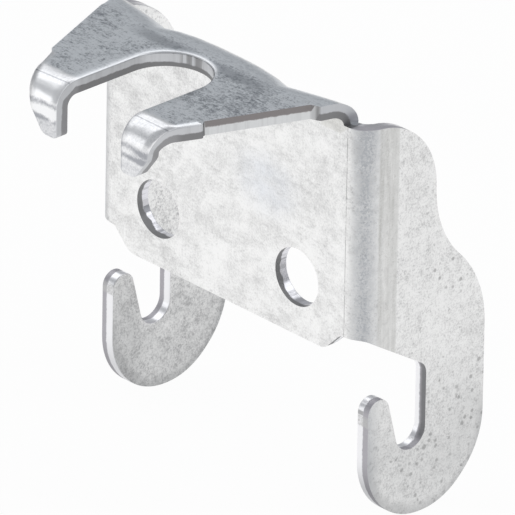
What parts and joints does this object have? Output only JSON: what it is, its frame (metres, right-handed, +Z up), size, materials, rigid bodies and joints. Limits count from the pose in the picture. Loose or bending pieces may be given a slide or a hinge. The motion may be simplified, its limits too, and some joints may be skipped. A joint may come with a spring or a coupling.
{
  "type": "trapezoidal profile clamp",
  "caption": "Folded sheet steel clamp with a drilled web, side flanges that end in upward-open hooks, and a tapered tongue with a U-shaped throat and down-turned lips.",
  "frame": {"origin": "midway between the two bolt holes, on the front face of the web", "axes": "+X along the web from one hole to the other, -Y out of the web's front face on the tongue's side, +Z up towards the tongue"},
  "size_m": [0.05, 0.0464, 0.0602],
  "materials": {
    "galvanised_steel": "matte galvanised"
  },
  "bodies": {
    "root": {"profile_clamp": "galvanised_steel"}
  },
  "joints": []
}
